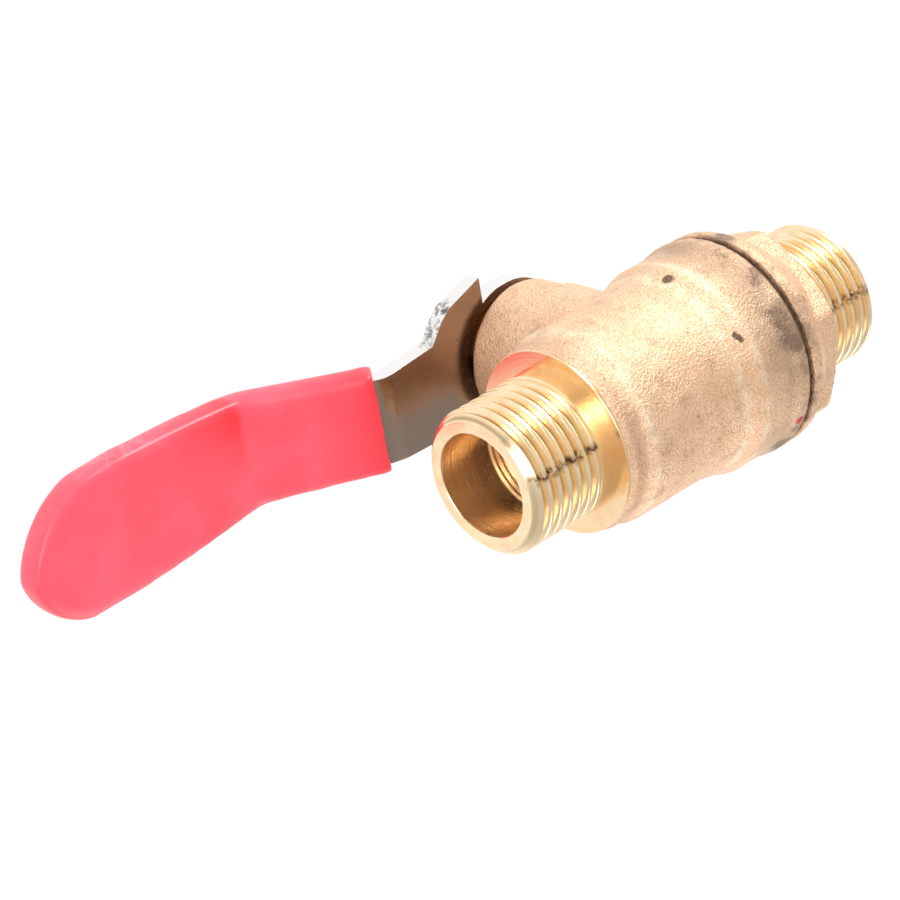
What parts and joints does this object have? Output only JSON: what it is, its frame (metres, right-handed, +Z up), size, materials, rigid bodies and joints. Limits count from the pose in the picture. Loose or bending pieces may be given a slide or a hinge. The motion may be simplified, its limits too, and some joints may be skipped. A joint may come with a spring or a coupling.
{
  "type": "ball valve",
  "caption": "Small brass lever ball valve with male pipe threads at both ends, a screwed hexagonal end cap and a cranked steel lever with a dipped vinyl grip.",
  "frame": {"origin": "centre of the ball, on the flow axis, where the stem axis crosses it", "axes": "+X along the flow axis towards the front port, which the open lever points to; +Z up the stem; +Y the side that the lever swings to when it closes"},
  "size_m": [0.1154, 0.0326, 0.0595],
  "materials": {
    "cast_brass": "sand cast, threads and bores turned bright",
    "turned_brass": "turned",
    "joint_gasket": "dark fibre",
    "plated_ball": "plated and polished",
    "white_ptfe": "waxy white",
    "black_rubber": "moulded",
    "plated_steel": "bright plated sheet",
    "red_vinyl": "dipped vinyl"
  },
  "bodies": {
    "casing": {"valve_body": "cast_brass", "end_cap": "cast_brass", "body_gasket": "joint_gasket", "seat_front": "white_ptfe", "seat_rear": "white_ptfe", "thrust_washer": "white_ptfe", "packing_lower": "white_ptfe", "packing_upper": "white_ptfe", "packing_follower": "turned_brass", "gland_nut": "turned_brass"},
    "lever_group": {"lever": "plated_steel", "lever_sleeve": "red_vinyl", "lock_washer": "plated_steel", "lever_nut": "plated_steel", "stem": "turned_brass", "stem_o_ring": "black_rubber"},
    "closing_ball": {"ball": "plated_ball"}
  },
  "joints": [
    {"name": "lever_turn", "type": "hinge", "parent": "casing", "child": "lever_group", "pos_m": [0, 0, 0], "axis": [0, 0, 1], "range_deg": [0, 90]},
    {"name": "ball_turn", "type": "hinge", "parent": "casing", "child": "closing_ball", "pos_m": [0, 0, 0], "axis": [0, 0, 1], "range_deg": [0, 90]}
  ],
  "couplings": [
    {"joint": "ball_turn", "follows": "lever_turn", "ratio": 1}
  ]
}
